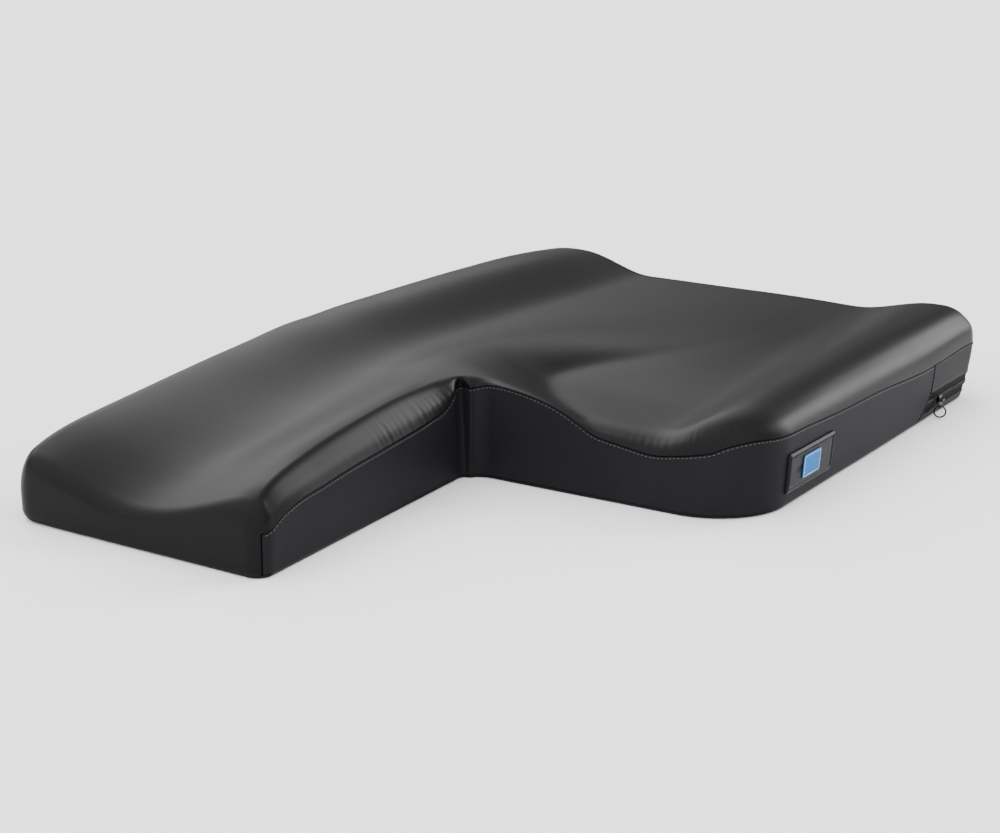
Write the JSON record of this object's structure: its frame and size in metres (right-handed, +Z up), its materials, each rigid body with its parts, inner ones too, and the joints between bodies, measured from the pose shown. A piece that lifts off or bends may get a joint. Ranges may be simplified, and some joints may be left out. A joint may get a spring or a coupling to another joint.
{
  "type": "wheelchair amputee cushion",
  "caption": "L-shaped contoured wheelchair seat cushion with a long arm that carries a residual limb, in a sewn black cover with a zip round the back.",
  "frame": {"origin": "middle of the box at the height of the flat base, on the surface that the cushion rests on", "axes": "+Z up out of the seat, +Y from the front of the long arm to the back of the seat, +X to the side of the short front"},
  "size_m": [0.4711, 0.742, 0.1031],
  "materials": {
    "cover": "satin coated stretch cloth",
    "side_panel": "satin coated stretch cloth",
    "zip_tape": "matt woven tape",
    "zip_coil": "satin nylon",
    "zip_metal": "gloss black enamel",
    "ring_metal": "dark plated wire",
    "label_patch": "coated cloth with a raised border",
    "label_tab": "matt woven"
  },
  "bodies": {
    "root": {"cushion": "cover", "boxing_right": "side_panel", "boxing_left": "side_panel", "rear_boxing_upper": "side_panel", "rear_boxing_lower": "side_panel", "zip_tape_upper": "zip_tape", "zip_tape_lower": "zip_tape", "zip_coil": "zip_coil", "zip_slider": "zip_metal", "zip_pull_tab": "zip_metal", "zip_pull_ring": "ring_metal", "label_patch": "label_patch", "label_tab": "label_tab"}
  },
  "joints": []
}
